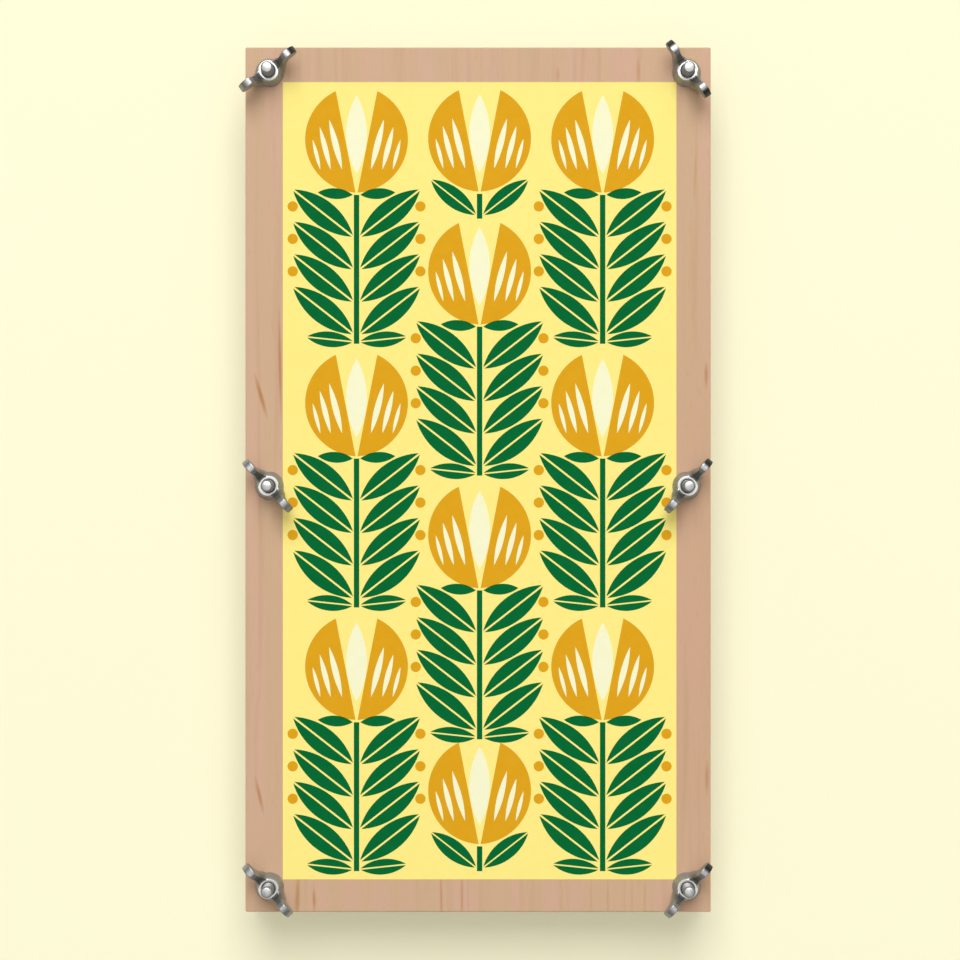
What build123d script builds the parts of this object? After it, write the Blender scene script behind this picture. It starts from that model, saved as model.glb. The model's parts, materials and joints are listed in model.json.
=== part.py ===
from build123d import *
import math
import os

# A flower press. Two plywood boards squeeze a pack of corrugated cards and blotting papers.
# Six carriage bolts stand in the lower board, and wing nuts draw the upper board down on them.
# Lengths are in millimetres: X runs across the boards, Y along them and Z up.
# The origin is the middle of the lower board's underside.

# Boards
BOARD_WIDTH = 225.0
BOARD_LENGTH = 418.0
BOARD_THICKNESS = 12.0
BOARD_CORNER_RADIUS = 0.8
BOARD_EDGE_ROUND = 0.6

# Bolt places, from the board's edges to the bolt axes
BOLT_FROM_SIDE = 11.7
BOLT_FROM_END = 12.3
MIDDLE_BOLT_SHIFT = -3.0

# Carriage bolts, with their domed heads sunk into the lower board
BOLT_DIAMETER = 6.0
BOLT_ABOVE_HUB = 11.5
BOLT_END_CHAMFER = 0.75
BOLT_HEAD_DIAMETER = 16.0
BOLT_HEAD_HEIGHT = 3.4
BOLT_HEAD_RIM = 0.6
BOLT_HEAD_SUNK = 0.6
BOLT_NECK_LENGTH = 4.0

# Wing nuts
HUB_HEIGHT = 8.0
HUB_BASE_DIAMETER = 13.8
HUB_TOP_DIAMETER = 9.8
HUB_TOP_CHAMFER = 0.4
BORE_CHAMFER = 0.55
WING_SPAN = 33.0
WING_HEIGHT = 17.0
EAR_RADIUS = 4.4
EAR_THICKNESS = 3.5
EAR_EDGE_ROUND = 1.2
WEB_THICKNESS = 2.4
WEB_ROOT_WIDTH = 5.6
WEB_TAPER_REACH = 9.0
WEB_FOOT_HEIGHT = 1.6
WEB_BELOW_HUB_TOP = 1.2
UPPER_LEFT_TURN_SHARE = 0.102
UPPER_RIGHT_TURN_SHARE = 0.3515
LEFT_TURN_SHARE = 0.3695
RIGHT_TURN_SHARE = 0.138

# Printed film on the upper board, and the bare border that it leaves
FILM_THICKNESS = 0.12
BORDER_LEFT = 18.1
BORDER_RIGHT = 16.6
BORDER_TOP = 16.8
BORDER_BOTTOM = 15.7

# Pressing pack: corrugated cards, each with the blotting papers that face it
CARD_COUNT = 5
CARD_THICKNESS = 3.0
CARD_LINER = 0.35
CARD_MEDIUM = 0.35
FLUTE_PITCH = 6.5
FLUTE_GLUE_WIDTH = 1.1
FLUTE_CREST_WIDTH = 0.9
BLOTTER_THICKNESS = 0.6
SHEET_FROM_END = 9.0

# Clearances
BOLT_HOLE_CLEARANCE = 0.25
HEAD_CLEARANCE = 0.5
THREAD_CLEARANCE = 0.05
SHEET_TO_BOLT = 2.8
LEAF_GAP = 0.1
NUT_SEAT_GAP = 0.05
CUT_OVERRUN = 1.0

# Heights that follow
HEAD_SEAT_Z = BOLT_HEAD_SUNK + BOLT_HEAD_HEIGHT
PACK_FLOOR_Z = BOARD_THICKNESS
BLOTTER_COUNT = 2 * (CARD_COUNT - 1)
PACK_HEIGHT = (
    CARD_COUNT * CARD_THICKNESS
    + BLOTTER_COUNT * BLOTTER_THICKNESS
    + (CARD_COUNT + 1) * LEAF_GAP
)
UPPER_BOARD_Z = PACK_FLOOR_Z + PACK_HEIGHT
UPPER_FACE_Z = UPPER_BOARD_Z + BOARD_THICKNESS
NUT_SEAT_Z = UPPER_FACE_Z + FILM_THICKNESS + NUT_SEAT_GAP
BOLT_END_Z = NUT_SEAT_Z + HUB_HEIGHT + BOLT_ABOVE_HUB

# Places that follow
BOLT_X = BOARD_WIDTH / 2 - BOLT_FROM_SIDE
BOLT_Y = BOARD_LENGTH / 2 - BOLT_FROM_END
BOLT_RADIUS = BOLT_DIAMETER / 2
SHEET_WIDTH = 2 * (BOLT_X - BOLT_RADIUS - SHEET_TO_BOLT)
SHEET_LENGTH = BOARD_LENGTH - 2 * SHEET_FROM_END

# Each bolt's place, named as it is seen from above
BOLT_PLACES = {
    "upper_left": (-BOLT_X, BOLT_Y),
    "upper_right": (BOLT_X, BOLT_Y),
    "middle_left": (-BOLT_X, MIDDLE_BOLT_SHIFT),
    "middle_right": (BOLT_X, MIDDLE_BOLT_SHIFT),
    "lower_left": (-BOLT_X, -BOLT_Y),
    "lower_right": (BOLT_X, -BOLT_Y),
}

# How far each nut's wings are turned from +X, as a share of a full turn
WING_TURN_SHARES = {
    "upper_left": UPPER_LEFT_TURN_SHARE,
    "upper_right": UPPER_RIGHT_TURN_SHARE,
    "middle_left": LEFT_TURN_SHARE,
    "middle_right": RIGHT_TURN_SHARE,
    "lower_left": LEFT_TURN_SHARE,
    "lower_right": RIGHT_TURN_SHARE,
}

ON_FLOOR = (Align.CENTER, Align.CENTER, Align.MIN)


def at_bolts(shape):
    """Copies of a shape, one on each bolt axis."""
    return [Pos(x, y, 0) * shape for x, y in BOLT_PLACES.values()]


def board_blank():
    """A plain board with rounded corners and eased edges, standing on Z = 0."""
    blank = Box(BOARD_WIDTH, BOARD_LENGTH, BOARD_THICKNESS, align=ON_FLOOR)
    blank = fillet(blank.edges().filter_by(Axis.Z), BOARD_CORNER_RADIUS)
    faces = blank.faces().sort_by(Axis.Z)
    return fillet(faces[0].edges() + faces[-1].edges(), BOARD_EDGE_ROUND)


def bolt_hole():
    """The round hole that a bolt passes through in either board."""
    depth = BOARD_THICKNESS + 2 * CUT_OVERRUN
    radius = BOLT_RADIUS + BOLT_HOLE_CLEARANCE
    return Pos(0, 0, -CUT_OVERRUN) * Cylinder(radius, depth, align=ON_FLOOR)


def lower_board():
    """The board that holds the bolts: each hole has a square for the neck and a sink for the head."""
    neck_top = HEAD_SEAT_Z + BOLT_NECK_LENGTH
    sink_radius = BOLT_HEAD_DIAMETER / 2 + HEAD_CLEARANCE
    sink = Pos(0, 0, -CUT_OVERRUN) * Cylinder(
        sink_radius, HEAD_SEAT_Z + CUT_OVERRUN, align=ON_FLOOR
    )
    square = Box(BOLT_DIAMETER, BOLT_DIAMETER, neck_top, align=ON_FLOOR)
    clear_depth = BOARD_THICKNESS - neck_top + CUT_OVERRUN
    clear = Pos(0, 0, neck_top) * Cylinder(
        BOLT_RADIUS + BOLT_HOLE_CLEARANCE, clear_depth, align=ON_FLOOR
    )
    return board_blank() - at_bolts(sink + square + clear)


def upper_board():
    """The board that slides on the bolts."""
    return Pos(0, 0, UPPER_BOARD_Z) * (board_blank() - at_bolts(bolt_hole()))


def printed_film():
    """The opaque printed sheet that is bonded to the upper board's face."""
    left = -BOARD_WIDTH / 2 + BORDER_LEFT
    right = BOARD_WIDTH / 2 - BORDER_RIGHT
    bottom = -BOARD_LENGTH / 2 + BORDER_BOTTOM
    top = BOARD_LENGTH / 2 - BORDER_TOP
    film = Box(right - left, top - bottom, FILM_THICKNESS, align=ON_FLOOR)
    return Pos((left + right) / 2, (bottom + top) / 2, UPPER_FACE_Z) * film


def carriage_bolt():
    """A bolt on the Z axis: domed head below, square neck, round shank with a chamfered end."""
    head_radius = BOLT_HEAD_DIAMETER / 2
    rim_z = HEAD_SEAT_Z - BOLT_HEAD_RIM
    dome_height = BOLT_HEAD_HEIGHT - BOLT_HEAD_RIM
    dome_radius = (head_radius**2 + dome_height**2) / (2 * dome_height)
    half_angle = math.asin(head_radius / dome_radius) / 2
    midway = (
        dome_radius * math.sin(half_angle),
        0,
        BOLT_HEAD_SUNK + dome_radius * (1 - math.cos(half_angle)),
    )
    dome_foot = (0, 0, BOLT_HEAD_SUNK)
    rim_low = (head_radius, 0, rim_z)
    rim_high = (head_radius, 0, HEAD_SEAT_Z)
    seat_centre = (0, 0, HEAD_SEAT_Z)
    outline = Wire(
        [
            Edge.make_three_point_arc(dome_foot, midway, rim_low),
            Edge.make_line(rim_low, rim_high),
            Edge.make_line(rim_high, seat_centre),
            Edge.make_line(seat_centre, dome_foot),
        ]
    )
    head = revolve(Face(outline), Axis.Z)
    neck = Pos(0, 0, HEAD_SEAT_Z) * Box(
        BOLT_DIAMETER, BOLT_DIAMETER, BOLT_NECK_LENGTH, align=ON_FLOOR
    )
    shank_z = HEAD_SEAT_Z + BOLT_NECK_LENGTH
    shank = Cylinder(BOLT_RADIUS, BOLT_END_Z - shank_z, align=ON_FLOOR)
    shank = chamfer(shank.edges().sort_by(Axis.Z)[-1], BOLT_END_CHAMFER)
    return head + neck + Pos(0, 0, shank_z) * shank


def tangent_point(start, centre, radius, side):
    """Where a line from start touches a circle, on its left for side 1 and on its right for side -1."""
    to_centre = centre - start
    spread = math.degrees(math.asin(radius / to_centre.length))
    reach = math.sqrt(to_centre.length**2 - radius**2)
    return start + to_centre.normalized().rotate(Axis.Y, -side * spread) * reach


def wing():
    """One wing on the +X side: a web that tapers out from the hub's flank, and the round ear at its end."""
    root_x = (BOLT_RADIUS + THREAD_CLEARANCE + HUB_TOP_DIAMETER / 2) / 2
    foot = Vector(root_x, 0, WEB_FOOT_HEIGHT)
    shoulder = Vector(root_x, 0, HUB_HEIGHT - WEB_BELOW_HUB_TOP)
    ear_centre = Vector(WING_SPAN / 2 - EAR_RADIUS, 0, WING_HEIGHT - EAR_RADIUS)
    under = tangent_point(foot, ear_centre, EAR_RADIUS, -1)
    over = tangent_point(shoulder, ear_centre, EAR_RADIUS, 1)
    tip = ear_centre + (ear_centre - (foot + shoulder) / 2).normalized() * EAR_RADIUS
    outline = Wire(
        [
            Edge.make_line(foot, under),
            Edge.make_three_point_arc(under, tip, over),
            Edge.make_line(over, shoulder),
            Edge.make_line(shoulder, foot),
        ]
    )
    root_half = WEB_ROOT_WIDTH / 2
    web_half = WEB_THICKNESS / 2
    plan = Wire.make_polygon(
        [
            (root_x, -root_half, 0),
            (WEB_TAPER_REACH, -web_half, 0),
            (WING_SPAN / 2, -web_half, 0),
            (WING_SPAN / 2, web_half, 0),
            (WEB_TAPER_REACH, web_half, 0),
            (root_x, root_half, 0),
        ]
    )
    side_view = extrude(Face(outline), amount=root_half, dir=(0, 1, 0), both=True)
    web = side_view & extrude(Face(plan), amount=WING_HEIGHT, dir=(0, 0, 1))
    ear = fillet(Cylinder(EAR_RADIUS, EAR_THICKNESS).edges().filter_by(GeomType.CIRCLE), EAR_EDGE_ROUND)
    return web + Pos(*ear_centre) * Rot(90, 0, 0) * ear


def wing_nut():
    """A cast wing nut on the Z axis, standing on Z = 0, with its wings along X."""
    hub = Cone(HUB_BASE_DIAMETER / 2, HUB_TOP_DIAMETER / 2, HUB_HEIGHT, align=ON_FLOOR)
    hub = chamfer(hub.edges().sort_by(Axis.Z)[-1], HUB_TOP_CHAMFER)
    right_wing = wing()
    bore_radius = BOLT_RADIUS + THREAD_CLEARANCE
    bore = Pos(0, 0, -CUT_OVERRUN) * Cylinder(
        bore_radius, HUB_HEIGHT + 2 * CUT_OVERRUN, align=ON_FLOOR
    )
    mouth = Cone(bore_radius, bore_radius + BORE_CHAMFER, BORE_CHAMFER, align=ON_FLOOR)
    upper_mouth = Pos(0, 0, HUB_HEIGHT - BORE_CHAMFER) * mouth
    lower_mouth = Pos(0, 0, BORE_CHAMFER) * Rot(180, 0, 0) * mouth
    return hub + right_wing + Rot(0, 0, 180) * right_wing - bore - upper_mouth - lower_mouth


def flute_channel(base_z, crest_z, middle_y):
    """The outline of one air channel in a card, wide at its liner and narrow at the crest."""
    base_half = (FLUTE_PITCH - FLUTE_GLUE_WIDTH) / 2
    crest_half = FLUTE_CREST_WIDTH / 2
    return Wire.make_polygon(
        [
            (0, middle_y - base_half, base_z),
            (0, middle_y + base_half, base_z),
            (0, middle_y + crest_half, crest_z),
            (0, middle_y - crest_half, crest_z),
        ]
    )


def corrugated_card():
    """A card with its flutes running across the press, standing on Z = 0."""
    half_length = SHEET_LENGTH / 2
    edge = Wire.make_polygon(
        [
            (0, -half_length, 0),
            (0, half_length, 0),
            (0, half_length, CARD_THICKNESS),
            (0, -half_length, CARD_THICKNESS),
        ]
    )
    channel_height = CARD_THICKNESS - 2 * CARD_LINER - CARD_MEDIUM
    upper_base = CARD_THICKNESS - CARD_LINER
    flutes = int((SHEET_LENGTH - 2 * FLUTE_GLUE_WIDTH) / FLUTE_PITCH)
    channels = []
    for flute in range(flutes):
        middle = (flute - (flutes - 1) / 2) * FLUTE_PITCH
        channels.append(flute_channel(CARD_LINER, CARD_LINER + channel_height, middle))
        if flute > 0:
            between = middle - FLUTE_PITCH / 2
            channels.append(flute_channel(upper_base, upper_base - channel_height, between))
    return extrude(Face(edge, channels), amount=SHEET_WIDTH / 2, dir=(1, 0, 0), both=True)


def blotting_paper():
    """A sheet of blotting paper, standing on Z = 0."""
    return Box(SHEET_WIDTH, SHEET_LENGTH, BLOTTER_THICKNESS, align=ON_FLOOR)


def pressing_pack():
    """The cards and papers by name, from the lower board up: each card has a paper on each side
    that faces another card."""
    card = corrugated_card()
    paper = blotting_paper()
    sheets = {}
    papers = 0
    z = PACK_FLOOR_Z
    for number in range(1, CARD_COUNT + 1):
        z += LEAF_GAP
        if number > 1:
            papers += 1
            sheets[f"blotting_paper_{papers}"] = Pos(0, 0, z) * paper
            z += BLOTTER_THICKNESS
        sheets[f"corrugated_card_{number}"] = Pos(0, 0, z) * card
        z += CARD_THICKNESS
        if number < CARD_COUNT:
            papers += 1
            sheets[f"blotting_paper_{papers}"] = Pos(0, 0, z) * paper
            z += BLOTTER_THICKNESS
    return sheets


def assembly():
    """Every piece of the press by name, in its place."""
    pieces = {
        "lower_board": lower_board(),
        "upper_board": upper_board(),
        "printed_film": printed_film(),
        **pressing_pack(),
    }
    bolt = carriage_bolt()
    nut = wing_nut()
    for place, (x, y) in BOLT_PLACES.items():
        turned_nut = Rot(0, 0, math.degrees(math.tau * WING_TURN_SHARES[place])) * nut
        pieces[f"carriage_bolt_{place}"] = Pos(x, y, 0) * bolt
        pieces[f"wing_nut_{place}"] = Pos(x, y, NUT_SEAT_Z) * turned_nut
    return pieces


os.makedirs("parts", exist_ok=True)
for name, piece in assembly().items():
    export_step(piece, f"parts/{name}.step")
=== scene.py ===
import json
import math

import bmesh
import bpy
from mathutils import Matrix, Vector


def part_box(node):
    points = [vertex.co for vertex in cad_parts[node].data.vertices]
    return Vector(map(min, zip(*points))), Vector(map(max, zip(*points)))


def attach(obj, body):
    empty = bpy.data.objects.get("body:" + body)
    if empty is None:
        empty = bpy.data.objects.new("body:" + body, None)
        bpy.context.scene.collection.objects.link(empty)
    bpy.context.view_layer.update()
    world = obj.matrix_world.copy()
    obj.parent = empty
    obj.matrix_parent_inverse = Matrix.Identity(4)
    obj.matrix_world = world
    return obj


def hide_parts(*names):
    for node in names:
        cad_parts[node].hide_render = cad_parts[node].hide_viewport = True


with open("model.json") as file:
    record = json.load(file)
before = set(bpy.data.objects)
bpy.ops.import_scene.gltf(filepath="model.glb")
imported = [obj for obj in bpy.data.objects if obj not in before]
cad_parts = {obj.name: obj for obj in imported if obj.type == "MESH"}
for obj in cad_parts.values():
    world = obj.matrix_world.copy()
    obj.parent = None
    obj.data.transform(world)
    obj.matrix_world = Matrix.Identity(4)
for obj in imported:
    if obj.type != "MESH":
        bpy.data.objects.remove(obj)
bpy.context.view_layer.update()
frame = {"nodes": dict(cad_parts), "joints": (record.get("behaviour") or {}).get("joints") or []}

bpy.ops.object.select_all(action="DESELECT")


# Plywood boards.
# Two boards of hardwood plywood, nine plies each, sawn to one size and drilled together for the bolts.
# The face veneer is pale pink-tan, its grain runs the long way, and the sawn edges show the plies.

ply_count = 9


def fill(tree, socket, value):
    """Sets a socket to a value, or feeds it from another node's socket."""
    if isinstance(value, bpy.types.NodeSocket):
        tree.links.new(value, socket)
    else:
        socket.default_value = value


def put(tree, kind, sockets=None, **options):
    """Adds a shader node, with its options set and its sockets filled."""
    made = tree.nodes.new(kind)
    for name, value in options.items():
        setattr(made, name, value)
    for name, value in (sockets or {}).items():
        fill(tree, made.inputs[name], value)
    return made


def colour(red, green, blue):
    """A colour given as it looks on a screen, 0 to 255, as the shader needs it."""
    parts = [part / 255 for part in (red, green, blue)]
    return tuple(p / 12.92 if p <= 0.04045 else ((p + 0.055) / 1.055) ** 2.4 for p in parts) + (1.0,)


def blank_material(name):
    """A new material, with its node tree, its shader and its object coordinates."""
    material = bpy.data.materials.new(name)
    material.use_nodes = True
    tree = material.node_tree
    shader = tree.nodes["Principled BSDF"]
    place = put(tree, "ShaderNodeTexCoord").outputs["Object"]
    return material, tree, shader, place


def dress(piece, material):
    """Gives a piece one material all over."""
    piece.data.materials.clear()
    piece.data.materials.append(material)


def noise(tree, place, waves, detail=3.0, roughness=0.5, shift=(0, 0, 0)):
    """Smooth noise from 0 to 1, with its own number of waves in a metre across, along and up."""
    sockets = {"Vector": place, "Scale": waves, "Location": shift}
    stretched = put(tree, "ShaderNodeMapping", sockets).outputs[0]
    sockets = {"Vector": stretched, "Scale": 1.0, "Detail": detail, "Roughness": roughness}
    return put(tree, "ShaderNodeTexNoise", sockets).outputs["Fac"]


def ramp(tree, value, low, high, start=0.0, end=1.0):
    """A value stretched from one span to another, and held at its ends."""
    sockets = {"Value": value, "From Min": low, "From Max": high, "To Min": start, "To Max": end}
    return put(tree, "ShaderNodeMapRange", sockets).outputs[0]


def blend(tree, share, first, second):
    """Two colours mixed, with a share of the second."""
    # the mix node has sockets for every kind of value: these are the ones for colours
    return put(tree, "ShaderNodeMix", {0: share, 6: first, 7: second}, data_type="RGBA").outputs[2]


def calculate(tree, operation, first, second=0.0):
    """One arithmetic step."""
    return put(tree, "ShaderNodeMath", {0: first, 1: second}, operation=operation).outputs[0]


def facing(tree):
    """The surface's direction, as its X, Y and Z parts."""
    direction = put(tree, "ShaderNodeTexCoord").outputs["Normal"]
    return put(tree, "ShaderNodeSeparateXYZ", {"Vector": direction}).outputs


def give_relief(tree, shader, height, strength, depth):
    """Fine relief on a surface, of a depth in metres."""
    bump = put(tree, "ShaderNodeBump", {"Height": height, "Strength": strength, "Distance": depth})
    fill(tree, shader.inputs["Normal"], bump.outputs[0])


def soft_streak(tree, place, middle, half_width, half_length, lean):
    """A dark mark in the veneer: 1 on its line, fading to 0 round it."""
    sockets = {
        "Vector": place,
        "Location": (*middle, 0),
        "Rotation": (0, 0, lean),
        "Scale": (half_width, half_length, 1.0),
    }
    mapped = put(tree, "ShaderNodeMapping", sockets, vector_type="TEXTURE").outputs[0]
    flat = put(tree, "ShaderNodeVectorMath", {0: mapped, 1: (1, 1, 0)}, operation="MULTIPLY").outputs[0]
    return put(tree, "ShaderNodeTexGradient", {"Vector": flat}, gradient_type="SPHERICAL").outputs["Fac"]


def plywood(name, underside_z, thickness, streaks):
    """Veneer on the faces, and plies with dark glue lines on the edges."""
    material, tree, shader, place = blank_material(name)
    veneer_tan = colour(204, 169, 136)
    veneer_pink = colour(208, 168, 142)
    veneer_dark = colour(197, 159, 128)
    streak_brown = colour(182, 128, 82)
    band_waves = (95, 5, 40)
    figure_waves = (260, 9, 40)
    figure_shift = (3.1, 0.7, 0)
    pore_waves = (2600, 130, 300)

    bands = noise(tree, place, band_waves, detail=2.0)
    veneer = blend(tree, ramp(tree, bands, 0.38, 0.64), veneer_tan, veneer_pink)
    figure = noise(tree, place, figure_waves, shift=figure_shift)
    veneer = blend(tree, ramp(tree, figure, 0.52, 0.74, 0.0, 0.75), veneer, veneer_dark)
    pores = noise(tree, place, pore_waves, detail=2.0)
    veneer = blend(tree, ramp(tree, pores, 0.60, 0.76, 0.0, 0.24), veneer, streak_brown)
    for middle, half_width, half_length, lean, strength in streaks:
        mark = soft_streak(tree, place, middle, half_width, half_length, lean)
        veneer = blend(tree, ramp(tree, mark, 0.05, 0.75, 0.0, strength), veneer, streak_brown)

    # the plies lie crosswise by turns, so every second one shows its end grain on an edge
    long_grain_pale = colour(219, 187, 146)
    long_grain_dark = colour(196, 157, 116)
    end_grain_pale = colour(170, 124, 84)
    end_grain_dark = colour(122, 82, 52)
    glue_brown = colour(96, 62, 40)
    wobble_waves = (60, 60, 200)
    fibre_waves = (420, 420, 2600)
    vessel_waves = (3800, 3800, 2600)
    wobble_share = 0.10
    height = put(tree, "ShaderNodeSeparateXYZ", {"Vector": place}).outputs["Z"]
    layer = calculate(tree, "SUBTRACT", height, underside_z)
    layer = calculate(tree, "DIVIDE", layer, thickness / ply_count)
    wobble = noise(tree, place, wobble_waves, detail=1.0)
    layer = calculate(tree, "ADD", layer, ramp(tree, wobble, 0.0, 1.0, -wobble_share, wobble_share))
    crossing = calculate(tree, "GREATER_THAN", calculate(tree, "FLOORED_MODULO", layer, 2.0), 1.0)
    way = facing(tree)
    on_end = calculate(tree, "GREATER_THAN", calculate(tree, "ABSOLUTE", way["Y"]), 0.7)
    end_grain = calculate(tree, "ABSOLUTE", calculate(tree, "SUBTRACT", crossing, on_end))
    fibres = noise(tree, place, fibre_waves)
    long_ply = blend(tree, ramp(tree, fibres, 0.35, 0.7), long_grain_pale, long_grain_dark)
    vessels = noise(tree, place, vessel_waves, detail=2.0)
    end_ply = blend(tree, ramp(tree, vessels, 0.40, 0.66), end_grain_pale, end_grain_dark)
    edge = blend(tree, end_grain, long_ply, end_ply)
    within = calculate(tree, "FRACT", layer)
    to_glue = calculate(tree, "MINIMUM", within, calculate(tree, "SUBTRACT", 1.0, within))
    edge = blend(tree, ramp(tree, to_glue, 0.03, 0.09, 0.75, 0.0), edge, glue_brown)

    on_face = ramp(tree, calculate(tree, "ABSOLUTE", way["Z"]), 0.55, 0.75)
    fill(tree, shader.inputs["Base Color"], blend(tree, on_face, edge, veneer))
    fill(tree, shader.inputs["Roughness"], ramp(tree, figure, 0.3, 0.7, 0.50, 0.62))
    sunk_pores = calculate(tree, "MULTIPLY", pores, -0.6)
    raised_fibres = calculate(tree, "MULTIPLY", fibres, 0.4)
    relief = calculate(tree, "ADD", sunk_pores, raised_fibres)
    give_relief(tree, shader, relief, strength=0.18, depth=0.0002)
    shader.inputs["Specular IOR Level"].default_value = 0.25
    return material


# each streak has its middle, half width, half length, lean and strength
upper_streaks = [
    ((-0.1050, 0.0405), 0.0014, 0.0135, 0.27, 1.0),
    ((-0.1058, -0.1525), 0.0012, 0.0110, 0.22, 0.85),
    ((-0.0958, 0.0560), 0.0010, 0.0330, 0.02, 0.95),
    ((-0.0873, -0.2020), 0.0016, 0.0150, -0.03, 0.75),
    ((-0.0793, -0.2030), 0.0011, 0.0075, 0.02, 0.80),
    ((-0.0178, -0.2020), 0.0009, 0.0180, 0.02, 0.60),
    ((-0.0078, -0.2020), 0.0009, 0.0180, 0.0, 0.60),
    ((0.0546, -0.2030), 0.0008, 0.0160, 0.0, 0.24),
    ((0.0628, -0.2035), 0.0009, 0.0160, 0.01, 0.30),
    ((0.0744, -0.2030), 0.0008, 0.0150, 0.0, 0.22),
    ((0.0806, -0.2035), 0.0009, 0.0150, -0.01, 0.28),
    ((0.0387, 0.1955), 0.0010, 0.0050, 0.02, 0.42),
    ((0.0775, 0.1975), 0.0012, 0.0085, 0.0, 0.50),
    ((0.1103, 0.0506), 0.0012, 0.0080, 0.0, 0.75),
    ((0.1107, -0.1443), 0.0014, 0.0100, 0.0, 0.60),
    ((0.1050, 0.1480), 0.0010, 0.0160, -0.05, 0.30),
    # the last is a broad, faint darkening down the right-hand border
    ((0.1060, -0.0500), 0.0240, 0.2100, 0.0, 0.13),
]
lower_streaks = [
    ((0.0400, 0.0700), 0.0016, 0.0300, 0.05, 0.60),
    ((-0.0650, -0.0900), 0.0012, 0.0240, -0.04, 0.50),
    ((0.0100, -0.1500), 0.0010, 0.0180, 0.02, 0.45),
]
for board, board_streaks in (("lower_board", lower_streaks), ("upper_board", upper_streaks)):
    board_low, board_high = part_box(board)
    wood = plywood(board + "_plywood", board_low.z, board_high.z - board_low.z, board_streaks)
    dress(frame["nodes"][board], wood)


# Carriage bolts.
# Zinc-plated steel, six of them: a domed head sunk into the lower board, a square neck that bites
# into the wood, and a rolled right-hand thread of 1 mm pitch up to the chamfered end.

bolt_places = ("upper_left", "upper_right", "middle_left", "middle_right", "lower_left", "lower_right")

# new pieces are modelled in millimetres: how many make a metre, how near to a place a point counts
# as on it, and how exact a cut is
mm_per_metre = 1000
near = 0.001
cut_tolerance = 0.00001


def bolt_axis(place):
    """Where a bolt stands, across and along the boards, in millimetres."""
    turn = next(joint for joint in frame["joints"] if joint["name"] == f"nut_{place}_turn")
    return [mm_per_metre * part for part in turn["pos_m"][:2]]


def start_shape():
    """The primitive just added, with its place in its mesh, in edit mode with all of it selected."""
    piece = bpy.context.object
    bpy.ops.object.transform_apply(location=True, rotation=True, scale=True)
    bpy.ops.object.mode_set(mode="EDIT")
    bpy.ops.mesh.select_mode(type="VERT")
    bpy.ops.mesh.select_all(action="SELECT")
    return piece


def pick(piece, kind, wanted):
    """In edit mode, selects the vertices, edges or faces whose corners all pass a test."""
    bpy.ops.mesh.select_mode(type={"verts": "VERT", "edges": "EDGE", "faces": "FACE"}[kind])
    bpy.ops.mesh.select_all(action="DESELECT")
    shape = bmesh.from_edit_mesh(piece.data)
    for item in getattr(shape, kind):
        corners = [item] if kind == "verts" else item.verts
        if all(wanted(corner.co) for corner in corners):
            item.select_set(True)
    shape.select_flush_mode()
    bmesh.update_edit_mesh(piece.data)


def grow(up, share):
    """Extrudes the selected ring upwards, and resizes it about the Z axis."""
    bpy.ops.mesh.extrude_region_move(TRANSFORM_OT_translate={"value": (0, 0, up)})
    bpy.ops.transform.resize(value=(share, share, 1), center_override=(0, 0, 0))


def draw_out(rings, way):
    """Grows the selected disc ring by ring, up or down: each ring has a radius and a distance."""
    for (last_radius, last_distance), (radius, distance) in zip(rings, rings[1:]):
        grow(way * (distance - last_distance), radius / last_radius)


def cut_off(point, outward):
    """In edit mode, cuts away all that lies outward of a point, and closes the cut."""
    bpy.ops.mesh.select_all(action="SELECT")
    bpy.ops.mesh.bisect(
        plane_co=point, plane_no=outward, clear_outer=True, use_fill=True, threshold=cut_tolerance
    )


def joined(pieces):
    """Several objects made into one."""
    bpy.ops.object.select_all(action="DESELECT")
    for piece in pieces:
        piece.select_set(True)
    bpy.context.view_layer.objects.active = pieces[0]
    bpy.ops.object.join()
    return pieces[0]


def use_modifier(piece, kind, **settings):
    """Adds a modifier and applies it."""
    bpy.ops.object.select_all(action="DESELECT")
    piece.select_set(True)
    bpy.context.view_layer.objects.active = piece
    added = piece.modifiers.new(kind.lower(), kind)
    for name, value in settings.items():
        setattr(added, name, value)
    bpy.ops.object.modifier_apply(modifier=added.name)


def placed_copy(model, name, x=0.0, y=0.0, z=0.0, turn=0.0):
    """A copy of a model made in millimetres, with its own mesh, set in its place in metres."""
    copy = model.copy()
    copy.data = model.data.copy()
    copy.name = copy.data.name = name
    bpy.context.scene.collection.objects.link(copy)
    copy.location = (x / mm_per_metre, y / mm_per_metre, z / mm_per_metre)
    copy.rotation_euler = (0, 0, turn)
    copy.scale = [1 / mm_per_metre] * 3
    bpy.ops.object.select_all(action="DESELECT")
    copy.select_set(True)
    bpy.context.view_layer.objects.active = copy
    bpy.ops.object.transform_apply(location=True, rotation=True, scale=True)
    return copy


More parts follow.
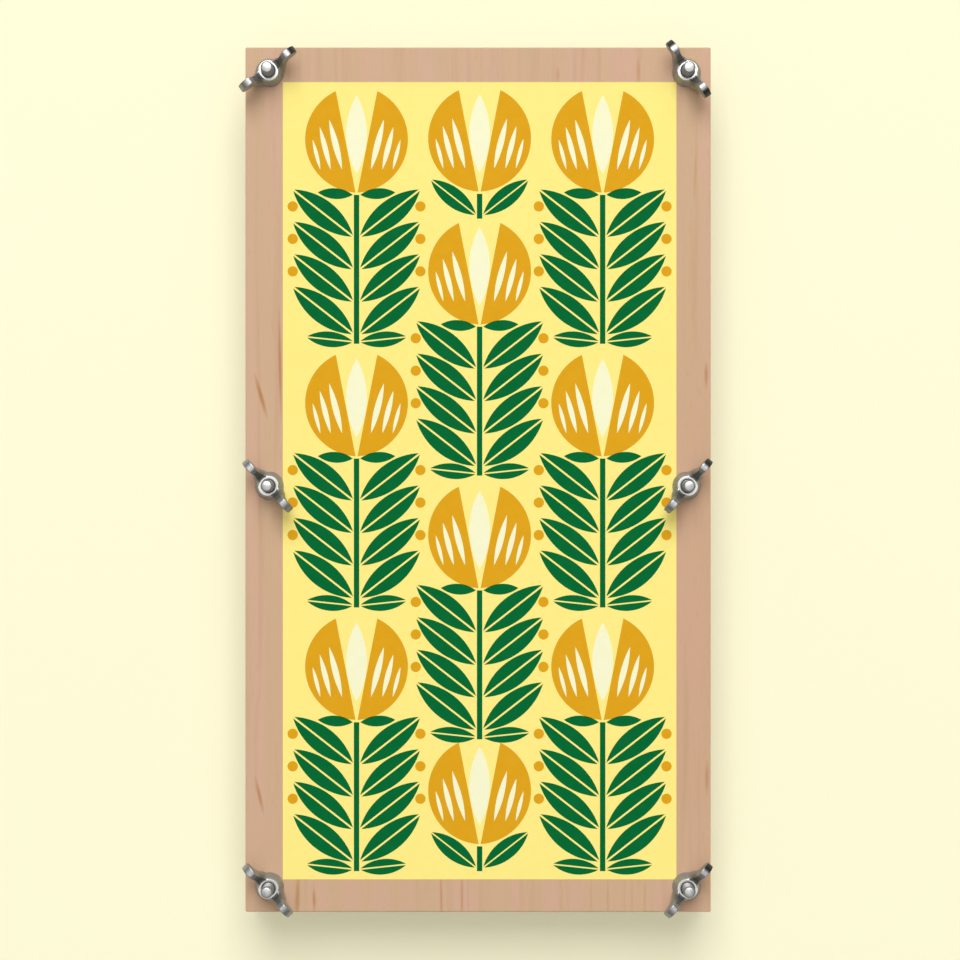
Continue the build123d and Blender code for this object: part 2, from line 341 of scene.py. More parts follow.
def plated_steel(name, lit_top_tone, shaded_flank_tone, top_roughness, flank_roughness, flank_metal, slopes):
    """Zinc-plated steel with clouding and grit, smoother and more metallic on faces that look up. Its colour
    is painted lighter on faces that look up and darker on the flanks as painted highlight and painted shade,
    with painted shade in the crook, a faced top painted brighter partly as a painted highlight, and painted
    dark reflections at the wing tips.
    """
    material, tree, shader, place = blank_material(name)
    faced_bright_and_highlight = colour(203, 203, 202)
    dark_reflection_black = colour(46, 43, 44)
    stain_share = 0.80
    crook_shade_share = 0.55
    cloud_waves = (420, 420, 420)
    grit_waves = (2400, 2400, 2400)

    # the colour is painted lighter on faces that look up and darker on the flanks: painted highlight and
    # painted shade
    upward = facing(tree)["Z"]
    on_top = ramp(tree, upward, *slopes)
    plating_and_painted_light = blend(tree, on_top, colour(*shaded_flank_tone), colour(*lit_top_tone))
    clouds = noise(tree, place, cloud_waves, detail=4.0, roughness=0.6)
    stain = colour(*[part * stain_share for part in shaded_flank_tone])
    plating_and_painted_light = blend(tree, ramp(tree, clouds, 0.40, 0.75, 0.0, 0.45), plating_and_painted_light, stain)

    # these three marks are stored on the mesh, and a piece without them has none of them: painted shade in
    # the crook, a faced top painted brighter partly as a painted highlight, and painted dark reflections at
    # the wing tips
    # painted shade in the crook between the hub and each wing
    crook = put(tree, "ShaderNodeAttribute", attribute_name="crook").outputs["Fac"]
    crook_shade = colour(*[part * crook_shade_share for part in shaded_flank_tone])
    plating_and_painted_light = blend(tree, ramp(tree, crook, 0.0, 1.0, 0.0, 0.75), plating_and_painted_light, crook_shade)
    # the faced top of the hub is painted brighter: partly its own bright finish, partly a painted highlight
    machined = put(tree, "ShaderNodeAttribute", attribute_name="machined").outputs["Fac"]
    plating_and_painted_light = blend(tree, machined, plating_and_painted_light, faced_bright_and_highlight)
    # painted dark reflections on the up-facing parts of the chosen wing tips
    tarnish = put(tree, "ShaderNodeAttribute", attribute_name="tarnish").outputs["Fac"]
    tarnish = calculate(tree, "MULTIPLY", tarnish, ramp(tree, upward, 0.10, 0.40, 0.0, 0.9))
    plating_and_painted_light = blend(tree, tarnish, plating_and_painted_light, dark_reflection_black)
    fill(tree, shader.inputs["Base Color"], plating_and_painted_light)

    grit = noise(tree, place, grit_waves, detail=2.0)
    polish = ramp(tree, on_top, 0.0, 1.0, flank_roughness, top_roughness)
    roughness = calculate(tree, "ADD", polish, ramp(tree, grit, 0.30, 0.72, -0.06, 0.06))
    fill(tree, shader.inputs["Roughness"], roughness)
    fill(tree, shader.inputs["Metallic"], ramp(tree, on_top, 0.0, 1.0, flank_metal, 1.0))
    give_relief(tree, shader, grit, strength=0.10, depth=0.0001)
    return material


# the bolt's lighter up-facing faces and darker flanks are painted highlight and painted shade
bolt_plating = plated_steel(
    "bolt_zinc_plating",
    lit_top_tone=(193, 193, 192),
    shaded_flank_tone=(140, 140, 141),
    top_roughness=0.40,
    flank_roughness=0.50,
    flank_metal=0.75,
    slopes=(0.75, 0.97),
)
bolt_low, bolt_high = (mm_per_metre * corner.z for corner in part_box("carriage_bolt_upper_left"))

# the head is turned from a disc, its underside drawn down ring by ring into a dome
head_radius = 8.0
head_height = 3.4
rim_height = 0.6
rim_bevel = 0.15
head_seat = bolt_low + head_height
dome_rings = [
    (head_radius, 0.0),
    (7.6, 0.42),
    (6.6, 1.12),
    (5.2, 1.80),
    (3.4, 2.38),
    (1.5, 2.72),
    (0.5, 2.79),
]
bpy.ops.mesh.primitive_cylinder_add(
    vertices=40, radius=head_radius, depth=rim_height, location=(0, 0, head_seat - rim_height / 2)
)
head = start_shape()
pick(head, "faces", lambda co: co.z < head_seat - rim_height + near)
draw_out(dome_rings, -1)
pick(head, "edges", lambda co: co.z > head_seat - near and co.xy.length > head_radius - near)
bpy.ops.mesh.bevel(offset=rim_bevel, segments=2)
bpy.ops.object.mode_set(mode="OBJECT")

# the neck is a square block with its corners eased
neck_side = 6.0
neck_height = 3.8
neck_bevel = 0.3
bpy.ops.mesh.primitive_cube_add(
    size=1, location=(0, 0, head_seat + neck_height / 2), scale=(neck_side, neck_side, neck_height)
)
neck = start_shape()
bpy.ops.mesh.bevel(offset=neck_bevel, segments=2)
bpy.ops.object.mode_set(mode="OBJECT")

# the thread is one ridge's outline, screwed up the shank and cut square at both ends
pitch = 1.0
thread_root = 2.42
thread_depth = 0.56
root_half = 0.10
flank_rise = 0.34
crest_flat = 0.12
ridge = (
    (0, root_half),
    (thread_depth, flank_rise),
    (0, crest_flat),
    (-thread_depth, flank_rise),
    (0, root_half),
)
neck_top = head_seat + neck_height
thread_below_neck = 1.3
shank_below_neck = 0.1
end_crown = 0.24
end_z = bolt_high - end_crown
bpy.ops.mesh.primitive_plane_add(size=1)
shank = start_shape()
bpy.ops.mesh.merge(type="CENTER")
bpy.ops.transform.translate(value=(thread_root, 0, neck_top - thread_below_neck))
for outward, upward in ridge:
    bpy.ops.mesh.extrude_region_move(TRANSFORM_OT_translate={"value": (outward, 0, upward)})
bpy.ops.object.mode_set(mode="OBJECT")
use_modifier(
    shank,
    "SCREW",
    axis="Z",
    angle=math.tau,
    screw_offset=pitch,
    iterations=int((bolt_high - head_seat) / pitch),
    steps=20,
    render_steps=20,
)
bpy.ops.object.mode_set(mode="EDIT")
bpy.ops.mesh.select_all(action="SELECT")
bpy.ops.mesh.remove_doubles(threshold=near)
cut_off((0, 0, neck_top - shank_below_neck), (0, 0, -1))
cut_off((0, 0, end_z), (0, 0, 1))
bpy.ops.mesh.select_all(action="SELECT")
bpy.ops.mesh.normals_make_consistent(inside=False)
bpy.ops.object.mode_set(mode="OBJECT")

# a chamfer takes the thread down to the end, and the end has a low crown
end_radius = 2.25
end_rings = [(end_radius, 0.0), (1.90, 0.08), (1.40, 0.15), (0.85, 0.21), (0.30, end_crown)]
for corner in shank.data.vertices:
    widest = end_radius + (end_z - corner.co.z)
    if corner.co.xy.length > widest:
        corner.co.xy *= widest / corner.co.xy.length
bpy.ops.object.mode_set(mode="EDIT")
pick(shank, "faces", lambda co: co.z > end_z - near)
draw_out(end_rings, 1)
bpy.ops.object.mode_set(mode="OBJECT")

bolt_model = joined([shank, neck, head])
bpy.ops.object.shade_smooth_by_angle(angle=math.radians(28))
dress(bolt_model, bolt_plating)
for place in bolt_places:
    bolt = placed_copy(bolt_model, "bolt_" + place, *bolt_axis(place))
    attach(bolt, "base")
    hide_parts("carriage_bolt_" + place)
bpy.data.objects.remove(bolt_model)


# Corrugated cards.
# Five kraft cards that let the pack dry: a fluted paper glued between two flat liners, with the
# flutes running the short way, so that their mouths show along the long edges.

flute_pitch = 6.5


def kraft_paper(name):
    """Brown kraft paper with fibres, and the flutes faintly showing through."""
    material, tree, shader, place = blank_material(name)
    kraft_pale = colour(196, 158, 112)
    kraft_dark = colour(170, 130, 86)
    fleck_brown = colour(118, 84, 52)
    flute_shade = colour(150, 112, 72)
    fibre_waves = (500, 1500, 1500)
    fleck_waves = (1800, 2600, 2600)

    fibres = noise(tree, place, fibre_waves, detail=4.0, roughness=0.6)
    paper = blend(tree, ramp(tree, fibres, 0.32, 0.70), kraft_pale, kraft_dark)
    flecks = noise(tree, place, fleck_waves, detail=1.0)
    paper = blend(tree, ramp(tree, flecks, 0.68, 0.76, 0.0, 0.55), paper, fleck_brown)
    along = put(tree, "ShaderNodeSeparateXYZ", {"Vector": place}).outputs["Y"]
    angle = calculate(tree, "MULTIPLY", along, mm_per_metre * math.tau / flute_pitch)
    flute = calculate(tree, "SINE", angle)
    paper = blend(tree, ramp(tree, flute, 0.2, 1.0, 0.0, 0.16), paper, flute_shade)
    fill(tree, shader.inputs["Base Color"], paper)
    shader.inputs["Roughness"].default_value = 0.85
    shader.inputs["Specular IOR Level"].default_value = 0.2
    relief = calculate(tree, "ADD", calculate(tree, "MULTIPLY", flute, 0.25), fibres)
    give_relief(tree, shader, relief, strength=0.25, depth=0.0002)
    return material


sheet_low, sheet_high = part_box("corrugated_card_1")
sheet_width = mm_per_metre * (sheet_high.x - sheet_low.x)
sheet_length = mm_per_metre * (sheet_high.y - sheet_low.y)
card_thickness = mm_per_metre * (sheet_high.z - sheet_low.z)
card_count = sum(node.startswith("corrugated_card_") for node in frame["nodes"])
liner = 0.28
liner_bevel = 0.06
fluting_paper = 0.24
flutes_from_end = 0.1
flute_facets = 12
flutes = int(sheet_length / flute_pitch) + 3
wave = card_thickness / 2 - liner - fluting_paper / 2

# one flute is a strip bent into a wave, repeated along the card and given its paper's thickness
bpy.ops.mesh.primitive_grid_add(x_subdivisions=1, y_subdivisions=flute_facets, size=1)
fluting = bpy.context.object
fluting.scale = (sheet_width, flute_pitch, 1)
bpy.ops.object.transform_apply(scale=True)
for corner in fluting.data.vertices:
    corner.co.z = card_thickness / 2 - wave * math.cos(math.tau * corner.co.y / flute_pitch)
fluting.location.y = -(flutes - 1) / 2 * flute_pitch
bpy.ops.object.transform_apply(location=True)
use_modifier(
    fluting,
    "ARRAY",
    count=flutes,
    use_relative_offset=False,
    use_constant_offset=True,
    constant_offset_displace=(0, flute_pitch, 0),
    use_merge_vertices=True,
    merge_threshold=0.01,
)
use_modifier(fluting, "SOLIDIFY", thickness=fluting_paper, offset=0)
bpy.ops.object.mode_set(mode="EDIT")
for end in (-1, 1):
    cut_off((0, end * (sheet_length / 2 - flutes_from_end), 0), (0, end, 0))
bpy.ops.object.mode_set(mode="OBJECT")
bpy.ops.object.shade_smooth_by_angle(angle=math.radians(40))

# the liners are flat sheets with soft edges
liners = []
for middle in (liner / 2, card_thickness - liner / 2):
    bpy.ops.mesh.primitive_cube_add(
        size=1, location=(0, 0, middle), scale=(sheet_width, sheet_length, liner)
    )
    liners.append(start_shape())
    bpy.ops.mesh.bevel(offset=liner_bevel, segments=2)
    bpy.ops.object.mode_set(mode="OBJECT")
card_model = joined([fluting] + liners)
dress(card_model, kraft_paper("kraft_card"))
for number in range(1, card_count + 1):
    node = f"corrugated_card_{number}"
    card = placed_copy(card_model, f"card_{number}", z=mm_per_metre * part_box(node)[0].z)
    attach(card, f"leaf_{number}")
    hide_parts(node)
bpy.data.objects.remove(card_model)


# Blotting papers.
# Eight thick, unsized sheets of off-white paper, cut to the same size as the cards. They lie between
# the cards and take up the plants' moisture.

def blotting(name):
    """Soft, fibrous paper with faint clouding from the felt that it was made on."""
    material, tree, shader, place = blank_material(name)
    paper_white = colour(240, 236, 224)
    paper_grey = colour(230, 225, 209)
    fibre_grey = colour(205, 198, 178)
    cloud_waves = (70, 70, 70)
    fibre_waves = (900, 1300, 1300)

    clouds = noise(tree, place, cloud_waves)
    paper = blend(tree, ramp(tree, clouds, 0.36, 0.66), paper_white, paper_grey)
    fibres = noise(tree, place, fibre_waves, detail=5.0, roughness=0.65)
    paper = blend(tree, ramp(tree, fibres, 0.56, 0.80, 0.0, 0.45), paper, fibre_grey)
    fill(tree, shader.inputs["Base Color"], paper)
    shader.inputs["Roughness"].default_value = 0.95
    shader.inputs["Specular IOR Level"].default_value = 0.1
    give_relief(tree, shader, fibres, strength=0.35, depth=0.00015)
    return material


blotting_stock = blotting("blotting_paper_stock")
for node, sheet in frame["nodes"].items():
    if node.startswith("blotting_paper_"):
        dress(sheet, blotting_stock)


# Printed panel.
# A matt yellow film bonded to the upper board, screen-printed in three inks with three columns of
# leafy tulips. Each ink lies on the film as a layer a few hundredths of a millimetre thick.

def printing_ink(name, tone, worn_tone):
    """Matt ink with the slightly uneven cover of a screen print."""
    material, tree, shader, place = blank_material(name)
    cover_waves = (160, 160, 160)
    mesh_waves = (3000, 3000, 3000)

    cover = noise(tree, place, cover_waves, detail=4.0)
    ink = blend(tree, ramp(tree, cover, 0.40, 0.72, 0.0, 0.7), colour(*tone), colour(*worn_tone))
    fill(tree, shader.inputs["Base Color"], ink)
    mesh_marks = noise(tree, place, mesh_waves, detail=1.0)
    fill(tree, shader.inputs["Roughness"], ramp(tree, mesh_marks, 0.3, 0.7, 0.55, 0.68))
    shader.inputs["Specular IOR Level"].default_value = 0.03
    give_relief(tree, shader, mesh_marks, strength=0.05, depth=0.0001)
    return material


blade_facets = 120


def half_blade(length, half_width, shift, side):
    """Half of a pointed leaf or petal, standing on the origin: a slice cut straight off a round."""
    radius = (length**2 / 4 + half_width**2) / (2 * half_width)
    facets = int(blade_facets * radius / length)
    bpy.ops.mesh.primitive_circle_add(vertices=facets, radius=radius, fill_type="NGON")
    blade = start_shape()
    bpy.ops.mesh.bisect(
        plane_co=(side * (radius - half_width), 0, 0),
        plane_no=(side, 0, 0),
        clear_inner=True,
        threshold=cut_tolerance,
    )
    bpy.ops.mesh.select_all(action="SELECT")
    bpy.ops.transform.translate(value=(side * (shift + half_width - radius), length / 2, 0))
    bpy.ops.object.mode_set(mode="OBJECT")
    return blade


def whole_blade(length, half_width, midrib=0.0):
    """A leaf or petal of two halves, with the ground showing along its midrib."""
    left = half_blade(length, half_width, midrib / 2, -1)
    right = half_blade(length, half_width, midrib / 2, 1)
    blade = joined([right, left])
    bpy.ops.object.mode_set(mode="EDIT")
    bpy.ops.mesh.select_all(action="SELECT")
    bpy.ops.mesh.remove_doubles(threshold=near)
    bpy.ops.object.mode_set(mode="OBJECT")
    return blade


def stamp(motif, x, y, turn=0.0, size=1.0):
    """One more print of a motif."""
    copy = motif.copy()
    copy.data = motif.data.copy()
    bpy.context.scene.collection.objects.link(copy)
    copy.location = (x, y, 0)
    copy.rotation_euler = (0, 0, turn)
    copy.scale = (size, size, 1)
    return copy


# the motifs, each standing on the origin
leaf_length = 36.0
leaf_tilt = math.radians(52)
cup_height = 50.0
cup_lean = math.radians(11)
cup_half_width = 19.5
cup_gap = 0.5
leaf = whole_blade(leaf_length, half_width=5.7, midrib=0.9)
ground_leaf = whole_blade(length=22.0, half_width=3.4, midrib=0.7)
sepal = whole_blade(length=17.0, half_width=2.6)
cups = {side: half_blade(cup_height, cup_half_width, cup_gap, side) for side in (-1, 1)}
heart_petal = whole_blade(length=38.0, half_width=5.0)
stripe = whole_blade(length=25.0, half_width=1.5)
bpy.ops.mesh.primitive_circle_add(vertices=28, radius=2.5, fill_type="NGON")
berry = bpy.context.object

# how the motifs stand together: a stripe has its distance from the middle and its size
stem_width = 2.6
leaf_root = 2.0
ground_leaf_tilt = math.radians(84)
ground_leaf_lift = 1.0
sepal_root = 1.8
sepal_tilt = math.radians(86)
berry_outset = 0.5
cup_lift = 1.2
heart_lift = 9.0
stripe_lift = 11.0
stripe_lean = cup_lean + 0.06
stripes = ((7.0, 1.0), (12.5, 0.85), (17.5, 0.6))
green_prints = []
ochre_prints = []
cream_prints = []


def tulip(x, y):
    """A flower head: two cupped petals with pale stripes, and a pale petal between them."""
    for side in (-1, 1):
        ochre_prints.append(stamp(cups[side], x, y, -side * cup_lean))
        for across, size in stripes:
            cream_prints.append(stamp(stripe, x + side * across, y + stripe_lift, -side * stripe_lean, size))
    cream_prints.append(stamp(heart_petal, x, y + heart_lift))


def plant(x, y, stem_height, leaf_feet, leaf_size=1.0):
    """A stem with pairs of leaves, berries between their tips, and a flower head on its end."""
    bpy.ops.mesh.primitive_plane_add(size=1, location=(x, y + stem_height / 2, 0))
    stem = bpy.context.object
    stem.scale = (stem_width, stem_height, 1)
    green_prints.append(stem)
    for side in (-1, 1):
        reach = leaf_length * Vector((side * math.sin(leaf_tilt), math.cos(leaf_tilt)))
        feet = [Vector((x + side * leaf_root, y + foot_height)) for foot_height in leaf_feet]
        for foot in feet:
            green_prints.append(stamp(leaf, foot.x, foot.y, -side * leaf_tilt, leaf_size))
        for lower, upper in zip(feet, feet[1:]):
            between = (lower + upper) / 2 + reach
            ochre_prints.append(stamp(berry, between.x + side * berry_outset, between.y))
        if len(leaf_feet) > 1:
            sepal_x = x + side * sepal_root
            green_prints.append(stamp(sepal, sepal_x, y + stem_height, -side * sepal_tilt))
            ground_x = x + side * leaf_root
            green_prints.append(stamp(ground_leaf, ground_x, y + ground_leaf_lift, -side * ground_leaf_tilt))
    tulip(x, y + stem_height + cup_lift)


# tall plants stand in step in the outer columns, and half a step higher in the middle one, which a
# short plant fills at each end
film_low, film_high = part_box("printed_film")
panel_x = mm_per_metre * (film_low.x + film_high.x) / 2
panel_bottom = mm_per_metre * film_low.y
panel_length = mm_per_metre * (film_high.y - film_low.y)
film_top = mm_per_metre * film_high.z
margin = 4.0
column_spacing = 59.5
plant_pitch = 127.5
tall_stem = 72.0
leaf_pairs = 4
first_leaf = 5.0
leaf_spacing = 15.7
tall_leaf_feet = [first_leaf + leaf_spacing * pair for pair in range(leaf_pairs)]
short_stem = 12.0
short_leaf_feet = [2.0]
short_leaf_size = 0.75
first_foot = panel_bottom + margin
for column in (-1, 1):
    for row in range(3):
        column_x = panel_x + column * column_spacing
        plant(column_x, first_foot + row * plant_pitch, tall_stem, tall_leaf_feet)
for row in range(2):
    plant(panel_x, first_foot + (row + 0.5) * plant_pitch, tall_stem, tall_leaf_feet)
last_foot = panel_bottom + panel_length - margin - short_stem - cup_height
for foot_y in (first_foot, last_foot):
    plant(panel_x, foot_y, short_stem, short_leaf_feet, short_leaf_size)

dress(frame["nodes"]["printed_film"], printing_ink("film_yellow", (254, 236, 137), (253, 234, 133)))
ink_green = printing_ink("ink_green", (1, 103, 50), (6, 108, 55))
ink_ochre = printing_ink("ink_ochre", (222, 162, 27), (225, 166, 33))
ink_cream = printing_ink("ink_cream", (247, 246, 208), (245, 243, 202))
ink_thickness = 0.020
over_ink_thickness = 0.030
for name, prints, thickness, ink in (
    ("print_leaves", green_prints, ink_thickness, ink_green),
    ("print_petals", ochre_prints, ink_thickness, ink_ochre),
    ("print_pale_petals", cream_prints, over_ink_thickness, ink_cream),
):
    layer = joined(prints)
    bpy.ops.object.transform_apply(location=True, rotation=True, scale=True)
    use_modifier(layer, "SOLIDIFY", thickness=thickness, offset=1)
    dress(layer, ink)
    inked = placed_copy(layer, name, z=film_top)
    bpy.data.objects.remove(layer)
    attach(inked, "press_plate")
for motif in (leaf, ground_leaf, sepal, *cups.values(), heart_petal, stripe, berry):
    bpy.data.objects.remove(motif)


# Wing nuts.
# Zinc-plated cast steel, six of them: a tapered hub with a threaded bore, and two wings that thin at
# the neck and swell into rounded ears for the fingers. Each stands at the angle that it was left at.

# the nut's lighter up-facing faces and darker flanks are painted highlight and painted shade
nut_plating = plated_steel(
    "nut_zinc_plating",
    lit_top_tone=(168, 168, 169),
    shaded_flank_tone=(160, 160, 163),
    top_roughness=0.36,
    flank_roughness=0.58,
    flank_metal=0.50,
    slopes=(0.45, 0.90),
)
hub_height = 8.0
ring_radius = 4.85
base_radius = 6.9
mouth_radius = 3.60
mouth_depth = 0.6
bore_radius = 3.10
hub_rows = (1.0, 1.8, 7.2)
hub_facets = 16

# the smoothing at the end draws a ring in, so each ring starts this much larger
round_up = 3 / (2 + math.cos(math.tau / hub_facets))

# the hub starts as a drum and tapers towards its top
bpy.ops.mesh.primitive_cylinder_add(
    vertices=hub_facets,
    radius=ring_radius * round_up,
    depth=hub_height,
    location=(0, 0, hub_height / 2),
    rotation=(0, 0, math.tau / hub_facets / 2),
)
nut_model = start_shape()
for height in hub_rows:
    bpy.ops.mesh.select_all(action="SELECT")
    bpy.ops.mesh.bisect(plane_co=(0, 0, height), plane_no=(0, 0, 1), threshold=cut_tolerance)
for height in (0.0, *hub_rows):
    share = (base_radius + (ring_radius - base_radius) * height / hub_height) / ring_radius
    pick(nut_model, "verts", lambda co: abs(co.z - height) < near)
    bpy.ops.transform.resize(value=(share, share, 1), center_override=(0, 0, height))

# each wing is drawn out of the hub's flank in steps: its lower edge and its upper edge, each a
# distance and a height, and its thickness at both
wing_steps = [
    ((7.3, 2.0), (5.4, 8.7), 7.0, 3.8),
    ((8.6, 4.1), (6.9, 11.0), 5.2, 2.6),
    ((9.9, 6.1), (8.1, 14.3), 3.9, 2.5),
    ((11.0, 7.3), (9.0, 16.3), 3.4, 3.0),
    ((12.2, 8.1), (10.2, 17.0), 3.5, 3.5),
    ((13.6, 8.7), (12.6, 16.9), 3.7, 3.7),
    ((15.0, 9.5), (14.5, 16.1), 3.6, 3.5),
    ((15.9, 10.7), (15.6, 15.0), 3.4, 3.3),
    ((16.25, 12.1), (16.25, 13.5), 3.0, 3.0),
]
height_shares = (0.0, 0.08, 0.92, 1.0)
thickness_shares = (-0.5, -0.36, 0.36, 0.5)
wing_root_slope = math.tan(math.radians(35))
for side in (1, -1):
    pick(
        nut_model,
        "faces",
        lambda co: co.z > hub_rows[0] - near and abs(co.y) < side * co.x * wing_root_slope,
    )
    for (low_x, low_z), (high_x, high_z), low_thickness, high_thickness in wing_steps:
        bpy.ops.mesh.extrude_region_move()
        shape = bmesh.from_edit_mesh(nut_model.data)
        section = sorted((corner for corner in shape.verts if corner.select), key=lambda corner: corner.co.z)
        columns = len(thickness_shares)
        for row, up in enumerate(height_shares):
            corners = sorted(section[columns * row:columns * (row + 1)], key=lambda corner: corner.co.y)
            for corner, across in zip(corners, thickness_shares):
                corner.co.x = side * (low_x + up * (high_x - low_x))
                corner.co.y = across * (low_thickness + up * (high_thickness - low_thickness))
                corner.co.z = low_z + up * (high_z - low_z)
        bmesh.update_edit_mesh(nut_model.data)

# the bore is sunk from both ends, and its two mouths are joined
for mouth_z, rim_radius, inward in ((hub_height, ring_radius, -1), (0.0, base_radius, 1)):
    pick(
        nut_model,
        "faces",
        lambda co: abs(co.z - mouth_z) < near and co.xy.length < rim_radius * round_up + near,
    )
    bpy.ops.mesh.inset(thickness=(rim_radius - mouth_radius) * round_up)
    grow(inward * mouth_depth, bore_radius / mouth_radius)
    bpy.ops.mesh.delete(type="ONLY_FACE")
bpy.ops.mesh.select_mode(type="EDGE")
bpy.ops.mesh.select_all(action="DESELECT")
bpy.ops.mesh.select_non_manifold()
bpy.ops.mesh.bridge_edge_loops()

# where a wing leaves the hub, the ring is cut back to a flat
flat_half_width = 2.9
flat_share = 0.91
pick(
    nut_model,
    "verts",
    lambda co: abs(co.z - hub_height) < near
    and abs(co.xy.length - ring_radius * round_up) < near
    and abs(co.y) < flat_half_width,
)
bpy.ops.transform.resize(value=(flat_share, 1, 1), center_override=(0, 0, 0))
bpy.ops.object.mode_set(mode="OBJECT")

# the hub's top is faced and painted brighter, partly as a painted highlight, and the crook between it and
# each wing gets painted shade
faced_radius = 5.05
crook_radius = 8.3
for finish, inner, outer in (("machined", 0.0, faced_radius), ("crook", faced_radius, crook_radius)):
    worked = nut_model.data.attributes.new(finish, "FLOAT", "POINT")
    for corner in nut_model.data.vertices:
        inside = inner < corner.co.xy.length < outer and corner.co.z > hub_height - near
        worked.data[corner.index].value = 1.0 if inside else 0.0

# the machined edges stay crisp under the smoothing: each has its height, its radius and its crease
crisp_edges = [
    (hub_height, ring_radius, 0.75),
    (hub_height, mouth_radius, 0.8),
    (hub_height - mouth_depth, bore_radius, 0.9),
    (0.0, base_radius, 0.85),
    (0.0, mouth_radius, 0.8),
    (mouth_depth, bore_radius, 0.9),
]
ring_reach = 0.45
bpy.ops.object.mode_set(mode="EDIT")
for height, radius, crease in crisp_edges:
    pick(
        nut_model,
        "edges",
        lambda co: abs(co.z - height) < near and abs(co.xy.length - radius * round_up) < ring_reach,
    )
    bpy.ops.transform.edge_crease(value=crease)
bpy.ops.mesh.select_all(action="SELECT")
bpy.ops.mesh.normals_make_consistent(inside=False)
bpy.ops.object.mode_set(mode="OBJECT")
use_modifier(nut_model, "SUBSURF", levels=2, render_levels=2)
bpy.ops.object.shade_smooth_by_angle(angle=math.radians(38))
dress(nut_model, nut_plating)

# how far each nut's wings are turned from +X, as a share of a full turn, and which of its wings get a
# painted dark reflection at the tip
wing_turn_shares = {
    "upper_left": 0.102,
    "upper_right": 0.3515,
    "middle_left": 0.3695,
    "middle_right": 0.138,
    "lower_left": 0.3695,
    "lower_right": 0.138,
}
darkly_reflecting_wings = {
    "upper_left": (1,),
    "upper_right": (1, -1),
    "middle_left": (),
    "middle_right": (1,),
    "lower_left": (),
    "lower_right": (1,),
}
dark_reflection_starts = 12.3
dark_reflection_fade = 1.0
nut_seat = mm_per_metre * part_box("wing_nut_upper_left")[0].z
# the chosen wing tips get painted dark reflections
nut_model.data.attributes.new("tarnish", "FLOAT", "POINT")
for place in bolt_places:
    tarnish = nut_model.data.attributes["tarnish"]
    for corner in nut_model.data.vertices:
        reach = max((side * corner.co.x for side in darkly_reflecting_wings[place]), default=0.0)
        tarnish.data[corner.index].value = min(max((reach - dark_reflection_starts) / dark_reflection_fade, 0.0), 1.0)
    turn = math.tau * wing_turn_shares[place]
    nut = placed_copy(nut_model, "nut_" + place, *bolt_axis(place), nut_seat, turn)
    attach(nut, "nut_" + place)
    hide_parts("wing_nut_" + place)
bpy.data.objects.remove(nut_model)


# Studio.
# A plain cream floor that sweeps up into a low round wall, a large soft light high on the far side,
# and a dim room round it. The camera looks straight down.

floor_cream = colour(254, 251, 218)
floor_radius = 11.0
floor_z = -0.0004
wall_height = 4.0
sweep_radius = 2.0
glow_share = 0.25
half_way_up = floor_z + wall_height / 2
bpy.ops.mesh.primitive_cylinder_add(
    vertices=96, radius=floor_radius, depth=wall_height, location=(0, 0, half_way_up)
)
floor = start_shape()
floor.name = "studio_floor"
pick(floor, "faces", lambda co: co.z > half_way_up)
bpy.ops.mesh.delete(type="FACE")
pick(floor, "edges", lambda co: co.z < half_way_up)
bpy.ops.mesh.bevel(offset=sweep_radius, segments=10)
bpy.ops.mesh.select_all(action="SELECT")
bpy.ops.mesh.flip_normals()
bpy.ops.object.mode_set(mode="OBJECT")
bpy.ops.object.shade_smooth_by_angle(angle=math.radians(30))

# the camera and the reflections see the floor glow a little, and other light doesn't
floor_paint, tree, shader, _ = blank_material("floor_cream")
shader.inputs["Base Color"].default_value = floor_cream
shader.inputs["Roughness"].default_value = 0.9
shader.inputs["Specular IOR Level"].default_value = 0.0
glow = put(tree, "ShaderNodeEmission", {"Color": floor_cream, "Strength": 1.0})
lit = put(tree, "ShaderNodeMixShader", {0: glow_share, 1: shader.outputs[0], 2: glow.outputs[0]})
path = put(tree, "ShaderNodeLightPath").outputs
mirrored = calculate(tree, "MAXIMUM", path["Is Glossy Ray"], path["Is Transmission Ray"])
seen = calculate(tree, "MAXIMUM", path["Is Camera Ray"], mirrored)
shown = put(tree, "ShaderNodeMixShader", {0: seen, 1: shader.outputs[0], 2: lit.outputs[0]})
fill(tree, tree.nodes["Material Output"].inputs["Surface"], shown.outputs[0])
dress(floor, floor_paint)

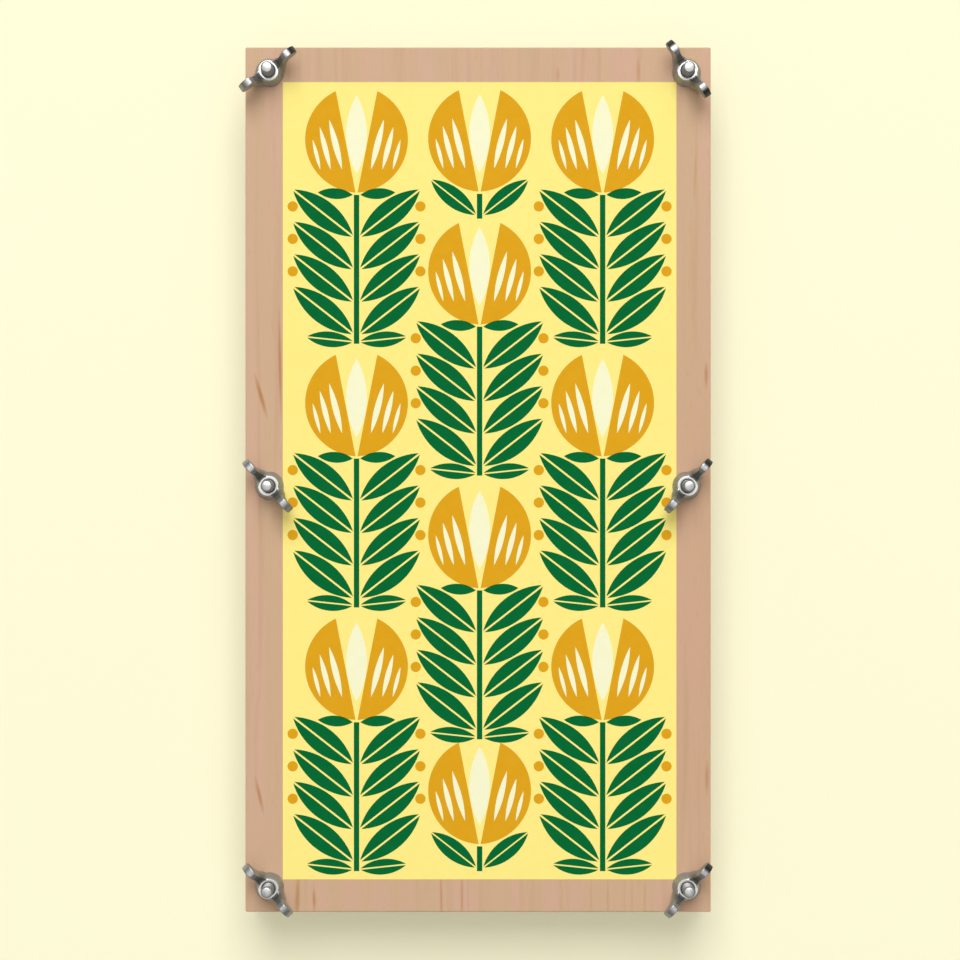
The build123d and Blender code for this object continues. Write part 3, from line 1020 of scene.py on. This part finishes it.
# the room is dark low down and bright overhead, and dimmer towards its far right corner
room_low = (0.12, 0.12, 0.125, 1)
room_overhead = (1.60, 1.60, 1.60, 1)
room_levels = ((0.5, 0.18), (0.8, 0.32), (0.9, 0.58), (0.97, 1.4))
far_right = (0.7, 0.7, 0.0)
world = bpy.data.worlds.new("studio_room")
bpy.context.scene.world = world
world.use_nodes = True
tree = world.node_tree
toward = put(tree, "ShaderNodeTexCoord").outputs["Generated"]
height = put(tree, "ShaderNodeSeparateXYZ", {"Vector": toward}).outputs["Z"]
room = put(tree, "ShaderNodeValToRGB", {"Fac": height})
stops = room.color_ramp.elements
stops[0].color = room_low
stops[1].color = room_overhead
for position, level in room_levels:
    stops.new(position).color = (level, level, level, 1)
to_corner = put(tree, "ShaderNodeVectorMath", {0: toward, 1: far_right}, operation="DOT_PRODUCT")
strength = ramp(tree, to_corner.outputs["Value"], -0.2, 0.9, 1.06, 0.58)
fill(tree, tree.nodes["Background"].inputs["Color"], room.outputs[0])
fill(tree, tree.nodes["Background"].inputs["Strength"], strength)

key_data = bpy.data.lights.new("key_softbox", "AREA")
key_data.shape = "RECTANGLE"
key_data.size = 3.6
key_data.size_y = 4.2
key_data.energy = 286.0
key = bpy.data.objects.new("key_softbox", key_data)
bpy.context.scene.collection.objects.link(key)
key.location = (0.0, 3.4, 5.0)
key.rotation_euler = (-key.location).to_track_quat("-Z", "Y").to_euler()

# the picture's width in pixels, a pixel's size on the upper board's face, and how many pixels the
# picture's middle lies to the right of the boards' middle and below it
picture_width = 960
pixel = 0.00048356
pixels_right = 1.95
pixels_below = 0.35
camera_height = 1.35
sensor_width = 36.0
camera_data = bpy.data.cameras.new("photo_camera")
camera_data.sensor_width = sensor_width
camera_data.lens = sensor_width * camera_height / (picture_width * pixel)
camera = bpy.data.objects.new("photo_camera", camera_data)
bpy.context.scene.collection.objects.link(camera)
board_face_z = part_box("upper_board")[1].z
camera.location = (pixels_right * pixel, -pixels_below * pixel, board_face_z + camera_height)
bpy.context.scene.camera = camera
bpy.context.scene.view_settings.view_transform = "Standard"
